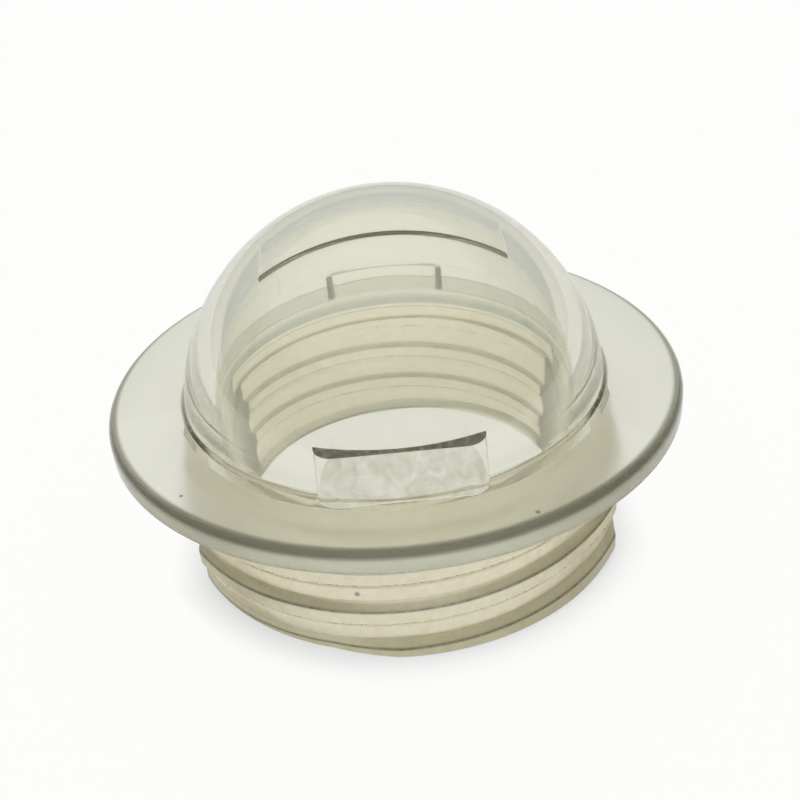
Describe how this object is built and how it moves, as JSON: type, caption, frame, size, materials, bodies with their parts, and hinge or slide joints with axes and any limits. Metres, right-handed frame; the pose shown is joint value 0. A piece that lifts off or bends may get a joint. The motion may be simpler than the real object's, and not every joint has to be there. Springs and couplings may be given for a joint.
{
  "type": "screw-in lamp cover",
  "caption": "Clear moulded screw-in cover for a small appliance lamp: hollow dome, flat flange, finger grips and a threaded collar.",
  "frame": {"origin": "centre of the collar's rim, where the cover stands on a surface", "axes": "+Z along the axis from the rim to the dome, -Y towards the grip on the marking plate's side"},
  "size_m": [0.056, 0.056, 0.0344],
  "materials": {
    "clear_polycarbonate": "polished"
  },
  "bodies": {
    "root": {"lamp_cover": "clear_polycarbonate"}
  },
  "joints": []
}
